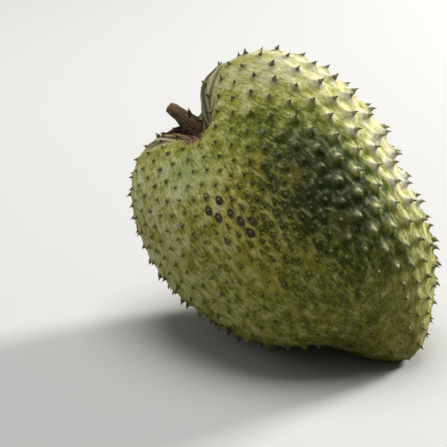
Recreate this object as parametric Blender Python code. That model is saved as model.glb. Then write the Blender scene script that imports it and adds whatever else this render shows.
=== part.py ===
"""A whole soursop (Annona muricata), as picked, lying on its side: the spiny fruit and its woody stalk.

Run it with: blender --background --python part.py
Metres, +Z up. The origin is the middle of the flat spot that the fruit rests on, and +X points from
the stalk's end towards the fruit's tip. Shapes are worked out in millimetres and scaled by MM.
"""

import math

import bmesh
import bpy
import numpy as np
from mathutils import Matrix, Vector, geometry

MM = 0.001

# --- The fruit's own form, about its core: a long axis A from stalk to tip, U to the swollen side, and
# W to the front, where the carpels stayed small. A direction is told by two angles in degrees:
# "from_stalk", from the stalk's pole (0) to the tip (180), and "round", from +U (0) by +W (90).
HALF_LENGTH = 81.5  # core to the plain form's ends, along A
HALF_WIDTH = 69.2  # along U
HALF_DEPTH = 77.6  # along W
FULLNESS = 2.4  # 2 is an ellipsoid, and more is boxier
# (name, from_stalk, round, height in mm, spread in degrees): rounded rises and hollows on the plain form
SWELLINGS = (
    ("stalk_hollow", 3, 180, -20.6, 5.5),
    ("swollen_crown", 24, 0, 35.4, 19.6),
    ("small_crown", 22, 180, 29.3, 20),
    ("front_notch", 14.5, 102, -23.6, 6.3),
    ("front_valley", 40, 90, -7.1, 28),
    ("swollen_shoulder", 62, 0, 17.8, 26),
    ("small_shoulder", 65, 180, 16.1, 26),
    ("swollen_cheek", 150, 0, 11.6, 22),
    ("beak", 178, 0, 37.0, 14),
    ("throat", 165, 228, -20.0, 22),
    ("belly", 132, 230, -10.0, 34),
    ("stalk_lip", 10, 222, 7.5, 4.8),
    ("stalk_wall", 9, 31, 5.2, 6.7),
    ("lobe_slope", 20, 193, -2.2, 7),
)

# --- How it lies: the axis slopes down to the tip, and the fruit is rolled about it.
TILT = 40.2
ROLL = 37.9
CORE = (6.0, -4.5, 66.3)  # nothing reaches below z = 0: the fruit's weight presses it flat there

# --- The spines: one on each carpel, scattered evenly but closer together where the carpels stayed small.
SPACING = 16.5  # between neighbours, in mm, on well grown carpels
# (name, from_stalk, round, share of the spacing, spread in degrees)
SMALL_CARPELS = (
    ("front_valley", 84, 90, 0.49, 23),
    ("small_side", 55, 152, 0.62, 36),
    ("lower_front", 128, 106, 0.66, 24),
    ("tip", 178, 0, 0.52, 26),
    ("stalk_end", 0, 0, 0.72, 20),
)
LEAST_SPACING = 6.8
BARE_ROUND_STALK = 12.5  # from_stalk, in degrees
CANDIDATES = 9000
NEAREST_SHARE = 0.78  # of the wanted spacing, kept clear round each spine when they are scattered
SPREADING_ROUNDS = 24
SEED = 7
GOLDEN_ANGLE = math.pi * (3.0 - math.sqrt(5.0))

SPINE_SIDES = 5
SPINE_LENGTH_SHARE = 0.24  # of the spacing
SPINE_LENGTHS = (2.1, 3.4)  # least and most, in mm
SLENDER, BROAD = 0.42, 0.50  # root radius, of the length, on close and on wide spines
CLOSE, WIDE = 9.0, 16.0  # the spacings that count as close and as wide
SPINE_LEANS = (12.0, 34.0)  # towards the tip, in degrees, on close and on wide spines
VALLEY_LEAN = 34.0  # further, in the front valley
VALLEY = (84, 90, 24)  # from_stalk, round and spread of that valley's middle
SPINE_BARE, WORN_BELOW = 1.5, 8.0  # heights over the ground: none below the first, whole over their sum

# --- The mounds: a raised bump under each spine, higher where the carpels swelled.
MOUND_FROM = 8.0  # spacing at which mounds begin, in mm
MOUND_SHARE = 0.52  # of the spacing beyond that
CROWN_SMOOTHNESS, CROWN_SPREAD = 0.60, 34.0  # how much lower the mounds are at the stalk, and how far from it
# how far they slope down, of the spacing: long towards the stalk, and steep towards the tip
MOUND_BEHIND, MOUND_AHEAD, MOUND_ACROSS = 0.42, 0.22, 0.28
MOUND_FULLNESS = 1.4  # 2 is a round bump, and less is more pointed
MOUND_RING = 0.42  # radius of the ring of points round a mound's foot, of the spacing
MOUND_RING_SIDES = 5
RING_FROM = 11.5  # closer spines share the points between them and have no such ring
FILLER_COUNT = 2600  # further points of the net, before those too close to another are dropped
FILLER_CROWD = 0.45
FILLER_GAP = 4.3

# --- The stalk: a bent woody stub in a socket in the hollow, with the dried remains of its sepals.
SOCKET_RADIUS = 8.6
SOCKET_SHIFT = 6.4  # off the axis, to the small side
SOCKET_DEPTH = 9.0
SOCKET_SIDES = 20
STALK_CLEARANCE = 0.35
STALK_LENGTH = 39.0
STALK_BEND = 17.0  # degrees that it leans away from the axis at its end, to the small side
STALK_STEPS = 12
# (share of the length, radius in mm)
STALK_PROFILE = (
    (0.00, 8.0),
    (0.23, 8.0),
    (0.40, 7.6),
    (0.52, 6.9),
    (0.64, 5.9),
    (0.77, 5.0),
    (0.92, 4.6),
    (1.00, 3.7),
)
SEPAL_COUNT = 3
SEPAL_AT = 19.0  # along the stalk
SEPAL_ROOT = 3.6  # from the stalk's middle line, so that the foot of each is buried in the stalk
SEPAL_LENGTH = 10.5
SEPAL_WIDTH = 5.5
SEPAL_THICKNESS = 1.7
SEPAL_SPREAD = 40.0  # degrees that they open away from the stalk


def unit(vectors):
    return vectors / np.linalg.norm(vectors, axis=-1, keepdims=True)


def direction(from_stalk, round_axis):
    """Unit vector (A, U, W) of a pair of angles in degrees."""
    polar, turn = np.broadcast_arrays(np.radians(from_stalk), np.radians(round_axis))
    return np.stack([-np.cos(polar), np.sin(polar) * np.cos(turn), np.sin(polar) * np.sin(turn)], -1)


def nearness(directions, from_stalk, round_axis, spread):
    """1 at a pole, and falling away from it as a bell curve."""
    along = np.clip(directions @ direction(from_stalk, round_axis), -1.0, 1.0)
    return np.exp(-0.5 * (np.degrees(np.arccos(along)) / spread) ** 2)


def golden_spiral(count):
    """Directions spread evenly over the whole sphere, from the stalk's pole to the tip."""
    index = np.arange(count)
    from_stalk = np.degrees(np.arccos(1.0 - 2.0 * (index + 0.5) / count))
    return direction(from_stalk, np.degrees(index * GOLDEN_ANGLE))


def form_radius(directions):
    """Distance from the core to the smooth form, in mm."""
    halves = np.array([HALF_LENGTH, HALF_WIDTH, HALF_DEPTH])
    radius = (np.abs(directions / halves) ** FULLNESS).sum(-1) ** (-1.0 / FULLNESS)
    for _, from_stalk, round_axis, height, spread in SWELLINGS:
        radius = radius + height * nearness(directions, from_stalk, round_axis, spread)
    return radius


def form_point(directions):
    return directions * form_radius(directions)[:, None]


def tangents(directions):
    """Two unit directions across each direction: on towards the tip, and round the axis."""
    tip = np.array([1.0, 0.0, 0.0])
    onward = unit(tip - (directions @ tip)[:, None] * directions + 1e-9)
    return onward, np.cross(directions, onward)


def form_normal(directions, step=0.01):
    """Outward normals of the smooth form, from its slope over a small step, in radians."""
    onward, sideways = tangents(directions)
    along = form_point(unit(directions + step * onward)) - form_point(unit(directions - step * onward))
    across = form_point(unit(directions + step * sideways)) - form_point(unit(directions - step * sideways))
    return unit(np.cross(along, across))


def to_world(vectors):
    """Turns vectors from the fruit's own axes (A, U, W) to the world's."""
    tilt, roll = math.radians(TILT), math.radians(ROLL)
    axis = np.array([math.cos(tilt), 0.0, -math.sin(tilt)])
    upper = np.array([math.sin(tilt), 0.0, math.cos(tilt)])
    swollen = math.cos(roll) * upper + math.sin(roll) * np.array([0.0, 1.0, 0.0])
    return vectors @ np.array([axis, swollen, np.cross(axis, swollen)])


def wanted_spacing(directions):
    """Spacing of the spines that suits the carpels of each place, in mm."""
    spacing = np.full(len(directions), SPACING)
    for _, from_stalk, round_axis, share, spread in SMALL_CARPELS:
        spacing *= share ** nearness(directions, from_stalk, round_axis, spread)
    return np.maximum(spacing, LEAST_SPACING)


def spine_directions():
    """The spines' places: scattered at random, no closer than a share of the spacing, then evened out."""
    candidates = golden_spiral(CANDIDATES)
    candidates = candidates[candidates[:, 0] > -math.cos(math.radians(BARE_ROUND_STALK))]
    points, clear = form_point(candidates), NEAREST_SHARE * wanted_spacing(candidates)
    kept = []
    for i in np.random.default_rng(SEED).permutation(len(candidates)):
        if not kept or np.linalg.norm(points[kept] - points[i], axis=1).min() > clear[i]:
            kept.append(i)
    places = candidates[kept]
    for _ in range(SPREADING_ROUNDS):
        places = pushed_apart(places)
    return places[places[:, 0] > -math.cos(math.radians(BARE_ROUND_STALK))]


def pushed_apart(places):
    """Moves each place a little away from those that are nearer than the wanted spacing."""
    points, spacing = form_point(places), wanted_spacing(places)
    away = points[:, None] - points[None]
    apart = np.linalg.norm(away, axis=-1)
    np.fill_diagonal(apart, math.inf)
    push = np.maximum(1.15 - apart / (0.5 * (spacing[:, None] + spacing[None])), 0.0)
    return unit(points + 0.25 * spacing[:, None] * (away * (push / apart)[..., None]).sum(1))


def spacing_of(places):
    """Mean distance from each spine to its five nearest, over the form, in mm."""
    points = form_point(places)
    apart = np.linalg.norm(points[:, None] - points[None], axis=-1)
    return np.sort(apart, axis=1)[:, 1:6].mean(1)


def mound_height(directions, places, spacing):
    """How far the mounds lift the skin over the form, in mm."""
    away = form_point(directions)[:, None] - form_point(places)[None]
    onward, sideways = tangents(places)
    ahead, aside = (away * onward).sum(-1), (away * sideways).sum(-1)
    through = (away * places).sum(-1)
    reach = np.where(ahead > 0.0, MOUND_AHEAD, MOUND_BEHIND)
    share = np.sqrt((ahead / reach) ** 2 + (aside / MOUND_ACROSS) ** 2 + through**2) / spacing
    heights = MOUND_SHARE * np.maximum(spacing - MOUND_FROM, 0.0)
    heights *= 1.0 - CROWN_SMOOTHNESS * nearness(places, 0, 0, CROWN_SPREAD)
    return (heights * np.exp(-(share**MOUND_FULLNESS))).sum(1)


def between(pair, share):
    return pair[0] + (pair[1] - pair[0]) * share


def ring_round(places, radius, sides, turn=0.0):
    """Directions of a ring of points round each place, radius in mm for each."""
    onward, sideways = tangents(places)
    reach = (radius / form_radius(places))[:, None, None]
    angles = np.arange(sides) * 2 * math.pi / sides + turn
    circle = np.cos(angles)[:, None] * onward[:, None] + np.sin(angles)[:, None] * sideways[:, None]
    return unit((places[:, None] + reach * circle).reshape(-1, 3))


def socket_rim():
    """Directions of the points where the stalk's socket meets the hollow, all at the socket's radius."""
    angles = np.arange(SOCKET_SIDES) * 2 * math.pi / SOCKET_SIDES
    rim = SOCKET_RADIUS * np.column_stack([np.cos(angles), np.sin(angles)]) - (SOCKET_SHIFT, 0.0)
    off_axis = np.linalg.norm(rim, axis=1)
    turns = np.degrees(np.arctan2(rim[:, 1], rim[:, 0]))
    from_stalk = np.full(SOCKET_SIDES, 6.0)
    for _ in range(12):
        from_stalk = np.degrees(np.arcsin(off_axis / form_radius(direction(from_stalk, turns))))
    return direction(from_stalk, turns)


def fillers(taken):
    """Directions that fill the net's gaps, closest together in the stalk's hollow."""
    spread = golden_spiral(FILLER_COUNT)
    from_stalk = np.arccos(-spread[:, 0])
    drawn = np.degrees(from_stalk - FILLER_CROWD * np.sin(from_stalk))
    spread = direction(drawn, np.degrees(np.arctan2(spread[:, 2], spread[:, 1])))
    points = form_point(spread)
    apart = np.linalg.norm(points[:, None] - form_point(taken)[None], axis=-1).min(1)
    off_axis = np.linalg.norm(points[:, 1:] + (SOCKET_SHIFT, 0.0), axis=1)
    beyond_rim = (off_axis > SOCKET_RADIUS + 0.5 * FILLER_GAP) | (spread[:, 0] > 0.0)
    return spread[(apart > FILLER_GAP) & beyond_rim]


def net_faces(directions):
    """Triangles that join directions into a net round the sphere, open at the stalk's pole.

    Seen from that pole, on a flat sheet, the net is a plain Delaunay triangulation."""
    flat = directions[:, 1:] / (1.0 + directions[:, :1])
    corners = [Vector(point) for point in flat]
    _, _, faces, *_ = geometry.delaunay_2d_cdt(corners, [], [], 0, 1e-7)
    return faces


def fruit_mesh():
    """The fruit's skin with its mounds, its spines and the stalk's socket, as one closed mesh."""
    everywhere = spine_directions()
    spacing = spacing_of(everywhere)
    heights = to_world(form_point(everywhere))[:, 2] + CORE[2]
    standing = heights > SPINE_BARE
    places, gaps = everywhere[standing], spacing[standing]
    wide = np.clip((gaps - CLOSE) / (WIDE - CLOSE), 0.0, 1.0)
    worn = np.clip((heights[standing] - SPINE_BARE) / WORN_BELOW, 0.0, 1.0)
    length = worn * np.clip(SPINE_LENGTH_SHARE * gaps, *SPINE_LENGTHS)
    lean = np.radians(between(SPINE_LEANS, wide) + VALLEY_LEAN * nearness(places, *VALLEY))

    roots = ring_round(places, np.maximum(between((SLENDER, BROAD), wide) * length, 0.6), SPINE_SIDES)
    spaced = gaps > RING_FROM
    feet = ring_round(places[spaced], MOUND_RING * gaps[spaced], MOUND_RING_SIDES, 0.3)
    net = np.concatenate([places, roots, feet, socket_rim()])
    net = np.concatenate([net, fillers(net)])
    skin = form_point(net) + mound_height(net, everywhere, spacing)[:, None] * form_normal(net)
    skin = to_world(skin) + np.array(CORE)

    # each spine's own point is drawn out of the skin, and leans on towards the tip
    outward = to_world(form_normal(places))
    onward = to_world(tangents(places)[0])
    reach = np.cos(lean)[:, None] * outward + np.sin(lean)[:, None] * onward
    skin[: len(places)] += length[:, None] * reach
    skin[:, 2] = np.maximum(skin[:, 2], 0.0)

    mesh = bmesh.new()
    corners = [mesh.verts.new(point * MM) for point in skin]
    for face in net_faces(net):
        mesh.faces.new([corners[i] for i in face])
    sink_socket(mesh)
    bmesh.ops.recalc_face_normals(mesh, faces=mesh.faces)
    data = bpy.data.meshes.new("fruit")
    mesh.to_mesh(data)
    mesh.free()
    return data


def socket_floor():
    """The middle of the socket's floor, and the way out of it along the axis, in the world."""
    lowest = form_point(socket_rim())[:, 0].max()
    floor = np.array([lowest + SOCKET_DEPTH, -SOCKET_SHIFT, 0.0])
    return Vector((to_world(floor) + np.array(CORE)) * MM), Vector(to_world(direction(0.0, 0.0)))


def sink_socket(mesh):
    """Closes the net at the stalk's pole with the socket's wall and floor."""
    floor, out = socket_floor()
    edges = [edge for edge in mesh.edges if edge.is_boundary]
    made = bmesh.ops.extrude_edge_only(mesh, edges=edges)["geom"]
    for vertex in (item for item in made if isinstance(item, bmesh.types.BMVert)):
        vertex.co -= out * (vertex.co - floor).dot(out)
    bmesh.ops.holes_fill(mesh, edges=[edge for edge in mesh.edges if edge.is_boundary])
    bmesh.ops.triangulate(mesh, faces=[face for face in mesh.faces if len(face.verts) > 3])


def stalk_place(along):
    """Point of the stalk's middle line, at a distance along it in mm, and its heading there."""
    floor, out = socket_floor()
    aside = Vector(to_world(np.array([0.0, -1.0, 0.0])))
    start = floor + out * STALK_CLEARANCE * MM
    # it stands straight in the socket, and bends more and more beyond it
    beyond = max(along - SOCKET_DEPTH, 0.0)
    slope = math.tan(math.radians(STALK_BEND)) * beyond / (STALK_LENGTH - SOCKET_DEPTH)
    middle = start + (out * along + aside * slope * beyond / 2) * MM
    return middle, (out + aside * slope).normalized()


def stalk_tube(collection):
    shares, radii = zip(*STALK_PROFILE)
    curve = bpy.data.curves.new("stalk", "CURVE")
    curve.dimensions = "3D"
    curve.bevel_depth = MM
    curve.bevel_resolution = 4
    curve.use_fill_caps = True
    spline = curve.splines.new("POLY")
    spline.points.add(STALK_STEPS)
    for i, point in enumerate(spline.points):
        share = i / STALK_STEPS
        point.co = (*stalk_place(share * STALK_LENGTH)[0], 1.0)
        point.radius = np.interp(share, shares, radii)
    drawn = bpy.data.objects.new("stalk_line", curve)
    collection.objects.link(drawn)
    bpy.context.view_layer.update()
    data = bpy.data.meshes.new_from_object(drawn.evaluated_get(bpy.context.evaluated_depsgraph_get()))
    bpy.data.objects.remove(drawn)
    return welded(data)


def welded(data):
    mesh = bmesh.new()
    mesh.from_mesh(data)
    bmesh.ops.remove_doubles(mesh, verts=mesh.verts, dist=1e-6)
    bmesh.ops.recalc_face_normals(mesh, faces=mesh.faces)
    mesh.to_mesh(data)
    mesh.free()
    return data


def sepal_mesh(index):
    """A dried sepal: a flattened spike that grows out of the stalk and opens away from it."""
    foot, heading = stalk_place(SEPAL_AT)
    front = Vector(to_world(np.array([0.0, 0.0, 1.0])))
    width = Matrix.Rotation(math.radians(8 + 360 * index / SEPAL_COUNT), 3, heading) @ front
    side = width.cross(heading).normalized()
    width = heading.cross(side)
    open_angle = math.radians(SEPAL_SPREAD)
    up = heading * math.cos(open_angle) + side * math.sin(open_angle)
    turn = Matrix((width, up.cross(width), up)).transposed().to_4x4()
    size = Matrix.Diagonal((SEPAL_WIDTH * MM, SEPAL_THICKNESS * MM, SEPAL_LENGTH * MM, 1.0))
    place = Matrix.Translation(foot + side * SEPAL_ROOT * MM) @ turn @ size
    mesh = bmesh.new()
    bmesh.ops.create_cone(mesh, cap_ends=True, segments=8, radius1=0.5, radius2=0.08, depth=1.0)
    bmesh.ops.transform(mesh, matrix=place @ Matrix.Translation((0.0, 0.0, 0.5)), verts=mesh.verts)
    data = bpy.data.meshes.new("sepal")
    mesh.to_mesh(data)
    mesh.free()
    return data


def new_material(name, colour, roughness):
    made = bpy.data.materials.new(name)
    made.use_nodes = True
    shader = made.node_tree.nodes["Principled BSDF"]
    shader.inputs["Base Color"].default_value = (*colour, 1.0)
    shader.inputs["Roughness"].default_value = roughness
    return made


def new_object(name, data, collection, material=None):
    made = bpy.data.objects.new(name, data)
    if material:
        data.materials.append(material)
    collection.objects.link(made)
    return made


def join_sepals(stalk):
    """Unites the stalk with its sepals in one Boolean step."""
    sepals = bpy.data.collections.new("sepals")
    bpy.context.scene.collection.children.link(sepals)
    for i in range(SEPAL_COUNT):
        new_object("sepal", sepal_mesh(i), sepals)
    union = stalk.modifiers.new("sepals", "BOOLEAN")
    union.operation = "UNION"
    union.solver = "EXACT"
    union.operand_type = "COLLECTION"
    union.collection = sepals
    bpy.context.view_layer.update()
    whole = stalk.evaluated_get(bpy.context.evaluated_depsgraph_get())
    joined = bpy.data.meshes.new_from_object(whole)
    stalk.modifiers.clear()
    stalk.data = joined
    for sepal in list(sepals.objects):
        bpy.data.objects.remove(sepal)
    bpy.data.collections.remove(sepals)


def main():
    for old in list(bpy.data.objects):
        bpy.data.objects.remove(old)
    soursop = bpy.data.collections.new("soursop")
    bpy.context.scene.collection.children.link(soursop)
    skin = new_material("soursop_skin", (0.16, 0.21, 0.05), 0.55)
    wood = new_material("stalk_wood", (0.12, 0.075, 0.04), 0.8)
    fruit = new_object("fruit", fruit_mesh(), soursop, skin)
    fruit.data.shade_smooth()
    fruit.data.set_sharp_from_angle(angle=math.radians(40))
    stalk = new_object("stalk", stalk_tube(soursop), soursop, wood)
    join_sepals(stalk)


main()
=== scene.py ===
"""The looks of a whole soursop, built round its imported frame.

The skin, spines, stalk and sepals repeat the frame's own form, much finer, and get procedural materials.
Shapes are worked out in millimetres in the fruit's own axes (A from stalk to tip, U to the swollen side,
W to the front, where the carpels stayed small), and placed in the frame's metres.
"""

import math

import bmesh
import bpy
import numpy as np
from mathutils import Matrix, Vector, kdtree, noise


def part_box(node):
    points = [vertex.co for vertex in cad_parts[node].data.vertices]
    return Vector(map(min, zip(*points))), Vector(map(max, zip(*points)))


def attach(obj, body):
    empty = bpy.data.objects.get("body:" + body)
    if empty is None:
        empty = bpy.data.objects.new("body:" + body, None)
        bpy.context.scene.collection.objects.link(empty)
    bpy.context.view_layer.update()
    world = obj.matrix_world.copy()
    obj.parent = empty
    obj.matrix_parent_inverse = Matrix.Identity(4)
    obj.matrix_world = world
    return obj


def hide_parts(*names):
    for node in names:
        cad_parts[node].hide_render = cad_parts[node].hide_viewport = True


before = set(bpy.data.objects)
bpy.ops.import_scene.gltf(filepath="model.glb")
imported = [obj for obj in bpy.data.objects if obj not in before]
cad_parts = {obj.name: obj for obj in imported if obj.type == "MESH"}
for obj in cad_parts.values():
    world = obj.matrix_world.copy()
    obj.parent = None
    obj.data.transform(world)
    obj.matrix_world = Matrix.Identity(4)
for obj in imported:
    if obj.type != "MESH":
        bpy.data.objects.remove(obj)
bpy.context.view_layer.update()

MM = 0.001

# --- The fruit's form, as in the frame. A direction is told by "from_stalk", from the stalk's pole (0) to
# the tip (180), and "round", about the axis from +U (0) by +W (90), in degrees.
HALF_LENGTH = 81.5
HALF_WIDTH = 69.2
HALF_DEPTH = 77.6
FULLNESS = 2.4
# (name, from_stalk, round, height in mm, spread in degrees)
SWELLINGS = (
    ("stalk_hollow", 3, 180, -20.6, 5.5),
    ("swollen_crown", 24, 0, 35.4, 19.6),
    ("small_crown", 22, 180, 29.3, 20),
    ("front_notch", 14.5, 102, -23.6, 6.3),
    ("front_valley", 40, 90, -7.1, 28),
    ("swollen_shoulder", 62, 0, 17.8, 26),
    ("small_shoulder", 65, 180, 16.1, 26),
    ("swollen_cheek", 150, 0, 11.6, 22),
    ("beak", 178, 0, 37.0, 14),
    ("throat", 165, 228, -20.0, 22),
    ("belly", 132, 230, -10.0, 34),
    ("stalk_lip", 10, 222, 7.5, 4.8),
    ("stalk_wall", 9, 31, 5.2, 6.7),
    ("lobe_slope", 20, 193, -2.2, 7),
)
TILT = 40.2
ROLL = 37.9
CORE = (6.0, -4.5, 66.3)

# --- The spines' places, as in the frame, in mm
SPACING = 16.5
# (name, from_stalk, round, share of the spacing that is left, spread in degrees)
SMALL_CARPELS = (
    ("front_valley", 84, 90, 0.49, 23),
    ("small_side", 55, 152, 0.62, 36),
    ("lower_front", 128, 106, 0.66, 24),
    ("tip", 178, 0, 0.52, 26),
    ("stalk_end", 0, 0, 0.72, 20),
)
LEAST_SPACING = 6.8
BARE_ROUND_STALK = 12.5  # degrees from the stalk's pole without a spine
CANDIDATES = 9000
NEAREST_SHARE = 0.78
SPREADING_ROUNDS = 24
CROWDED, PUSH = 1.15, 0.25  # nearer than this share of their spacing, spines push each other apart
NEIGHBOURS = 5  # whose mean distance is a spine's spacing
SEED = 7
GOLDEN_ANGLE = math.pi * (3.0 - math.sqrt(5.0))

# --- The spines' and mounds' sizes, as in the frame
CLOSE, WIDE = 9.0, 16.0  # spacings at which a spine is slender and upright, and broad and leaning
SPINE_LENGTH_SHARE = 0.24  # of the spacing
SPINE_LENGTHS = (2.1, 3.4)
SLENDER, BROAD = 0.42, 0.50  # radius of the foot, of the length
SPINE_LEANS = (12.0, 34.0)
VALLEY = (84, 90, 24)  # from_stalk, round and spread of the valley between the lobes
VALLEY_LEAN = 34.0
SPINE_BARE, WORN_BELOW = 1.5, 8.0  # height with no spine, and the height over which they come back
MOUND_FROM = 8.0
MOUND_SHARE = 0.52
MOUND_BEHIND, MOUND_AHEAD, MOUND_ACROSS = 0.42, 0.22, 0.28
MOUND_FULLNESS = 1.4
CROWN_SMOOTHNESS, CROWN_SPREAD = 0.60, 34.0

# --- The skin's relief. Heights are in mm, and shares are of the spines' spacing
SKIN_CELLS = 124  # along each side of the cube that the skin's net is blown up from
MOUNDS_FELT = 7  # how many of the nearest mounds lift a point
# The pale of those peaks is partly scurf and partly a painted highlight.
FLANK_PEAKS = (90, 46, 32)  # where the mounds are higher and end in pale peaks
FLANK_RELIEF = 1.7
SWOLLEN = (10.0, 15.5)  # spacings at which carpels start to look swollen, and are fully so
BRUSHED = (10.0, 13.0)  # and their peaks start to be pale, and are fully so
BRUSH_BEHIND, BRUSH_SHARE = 0.12, 0.16
SEAM_HEIGHT, SEAM_SHARE = 0.10, 0.36
WRINKLE_HEIGHT = 0.50
WRINKLES, FINE_WRINKLES = (9.0, 9.0, 2.6), (24.0, 24.0, 5.0)  # how fine, round the axis and along it
WRINKLED, WRINKLED_SWOLLEN, WRINKLED_VALLEY = 0.6, 0.8, 0.8
SPOKE_HEIGHT, SPOKES_ROUND, SPOKES_ALONG = 0.35, 3.2, 0.25
SPOKE_SHARE, SPOKE_MIDDLE = 0.36, 0.5
LUMP_HEIGHT, LUMP_SCALE = 0.5, 0.09
DENT_HEIGHT, DENT_SCALE = 0.25, 0.28
SMOOTH_END = (0, 0, 9.0)  # where lumps and dents fade out, under the stalk
FOLD_HEIGHT, FOLD_SCALE, FOLD_STRETCH = 0.9, 5.0, 0.4
FOLDS_FROM = (23, 106)  # where the folds round the stalk's foot start, as seen from the fruit's middle

# --- Marked areas of the skin, each as circles: weight, from_stalk, round and spread
FOLDED = ((1.0, 14, 130, 17), (0.8, 11, 55, 9))
BRUISED = ((1.0, 67, 110, 6), (1.0, 81, 108, 6))
BRUISED_SHARE = 0.62  # of the spines there
# The flank and front areas carry painted shade, the rim and crown painted light, and the back a painted
# darkening, through TONE_OF.
AREAS = {
    "flank": ((1.0, 98, 57, 20),),
    "front": ((1.0, 54, 59, 18),),
    "low": ((1.0, 160, 98, 21),),
    "rim": ((1.0, 98, 29, 22), (0.45, 156, 46, 14)),
    "crown": ((1.0, 39, 26, 22),),
    "back": ((1.0, 84, 296, 46),),
    "small_side": ((1.0, 55, 152, 34),),
    "bloom": ((1.0, 43, 116, 8),),
    "hollow": ((1.0, 10, 46, 8.0), (0.85, 19, 140, 6.5), (0.8, 16, 80, 7.0)),
    "cork": ((1.0, 7, 165, 7.0), (0.95, 14, 118, 7.0), (0.84, 26, 104, 6.2)),
}

# --- The spines' own detail
SPINE_ROUND = 9
SPINE_RINGS = 6
STANDING = 0.05  # share of a spine that has to be left for it to be built
SPINE_SUNK, SPINE_RAISED = 0.9, 0.2  # of the root below the skin, and the skin over the form, in mm
SPINE_SIZES = (0.62, 1.06)  # of the frame's length
LEAST_FOOT = 0.75
SLANTS, SWAYS = (-0.24, 0.24), (-0.42, 0.42)  # chance leans, towards the tip in radians and sideways
UPRIGHT, UPRIGHT_SHARE = (30, 10, 28), 0.8  # where the spines stand straighter, and by how much
FLARE, FLARE_POWER, FOOT_FLARE = 0.62, 2.2, 1.25
HOOK, HOOK_POWER = 0.35, 2.5  # further lean of the tip, of the length
RIBS, RIB_DEPTH, RIB_TURN = 3, 0.1, 9

# --- The stalk, as in the frame, in mm
SOCKET_RADIUS = 8.6
SOCKET_SHIFT = 6.4
SOCKET_DEPTH = 9.0
SOCKET_SIDES = 20
SOCKET_ROUNDS = 12
STALK_CLEARANCE = 0.35
STALK_LENGTH = 39.0
STALK_BEND = 17.0
# (share of the length, radius)
STALK_PROFILE = (
    (0.00, 8.0),
    (0.23, 8.0),
    (0.40, 7.6),
    (0.52, 6.9),
    (0.64, 5.9),
    (0.77, 5.0),
    (0.92, 4.6),
    (1.00, 3.7),
)
SEPAL_COUNT = 3
SEPAL_AT = 19.0
SEPAL_ROOT = 3.6
SEPAL_LENGTH = 10.5
SEPAL_WIDTH = 5.5
SEPAL_THICKNESS = 1.7
SEPAL_SPREAD = 40.0

# --- The bark's own detail. Heights are in mm
STALK_ROUND = 96
STALK_RINGS = 150
BARK_INSET = 0.25
RIDGE_HEIGHT, FINE_RIDGE_HEIGHT, SCAR_HEIGHT = 0.42, 0.24, 0.16
# how fine they are round the stalk and along it, and a shift that sets their patterns apart
RIDGES, FINE_RIDGES, SCARS = (3.4, 2.2, 0), (9.0, 7.0, 0), (1.6, 16.0, 4)
KNOB_HEIGHT, KNOBS_START, KNOBS_END = 0.7, (0.25, 0.32), (0.62, 0.45)
# the rings that close its end: share of the radius, and rise in mm
END_RINGS = ((0.9, 0.12), (0.7, 0.0), (0.5, -0.2), (0.3, -0.7), (0.12, -0.9))
END_ROUGHNESS, END_SUNK = 0.3, 0.3
END_GRAIN = 50.0

# --- The sepals' own detail
SEPAL_ROWS, SEPAL_COLUMNS = 14, 9
SEPAL_TURN = 8.0  # degrees from the front to the first
SEPAL_OPENING = (0.8, 1.05)  # of its spread, at the root and at the tip
SEPAL_TAPER, SEPAL_LEAST_HALF = 1.6, 0.12
SEPAL_THINNING, SEPAL_EDGE = 0.7, 0.05
SEPAL_CUP = 0.5
CRINKLE_HEIGHT, CRINKLES_ACROSS, CRINKLES_ALONG = 0.22, 2.5, 5.0

# --- Colours, as linear red, green and blue
# the skin's greens, from the darkest, for grooves and painted shade, to the palest, for scurfy tips and
# painted highlights
GREENS = (
    (0.00, (0.020, 0.031, 0.003)),
    (0.22, (0.067, 0.084, 0.005)),
    (0.42, (0.188, 0.196, 0.018)),
    (0.60, (0.335, 0.332, 0.075)),
    (0.80, (0.500, 0.490, 0.260)),
    (1.00, (0.650, 0.635, 0.490)),
)
TONE = -0.14  # place on that ramp of plain skin, and what each fact of the skin adds to it
TONE_OF = {
    # partly the crown's pale scurf, and partly painted light, a sheen on its top
    "crown": 0.50,
    "small_side": 0.23,
    # painted light: the band along the rim that the key light reaches
    "rim": 0.47,
    # painted shade: the flank's side that faces away from the key light
    "flank": -0.77,
    # painted shade: the crown's front, which the key light misses
    "front": -0.36,
    # painted darker on the back, to offset the key light that falls full on it
    "back": -0.36,
    # painted light and shade: paler on the fold ridges round the stalk's foot, darker in their grooves
    "folds": 0.30,
    "brush": 0.22,
    "low": -0.12,
}
# the first tint is painted shade on the flank and front; the second is the valley's own olive
PAINTED_SHADE_TINT, OLIVE = (0.60, 0.86, 0.40), (1.02, 0.87, 0.58)  # tints, multiplied in
YELLOW = (0.32, 0.29, 0.035)
BROWN_SPECKLES = (0.110, 0.085, 0.024)
BLUE_BLOOM = (0.17, 0.26, 0.12)
SCURF = (0.52, 0.50, 0.36)
PALE_SEAMS = (0.50, 0.47, 0.26)
# pale brush marks on the flank's peaks: partly scurf, partly a painted highlight
PALE_BRUSH = (0.66, 0.61, 0.42)
# the skin's darker spine feet, and painted shade and shadow round them
FOOT_DARK_AND_SHADOW = (0.030, 0.030, 0.010)
BRUISES = ((0.052, 0.040, 0.036), (0.024, 0.017, 0.015))  # middle and ring
WALLS = ((0.085, 0.072, 0.038), (0.42, 0.39, 0.23))
CORK = ((0.060, 0.030, 0.016), (0.29, 0.20, 0.115))
SPINE_ROOTS = ((0.13, 0.135, 0.045), (0.21, 0.20, 0.085))
SPINE_TIPS = ((0.028, 0.024, 0.012), (0.085, 0.070, 0.035))
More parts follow.
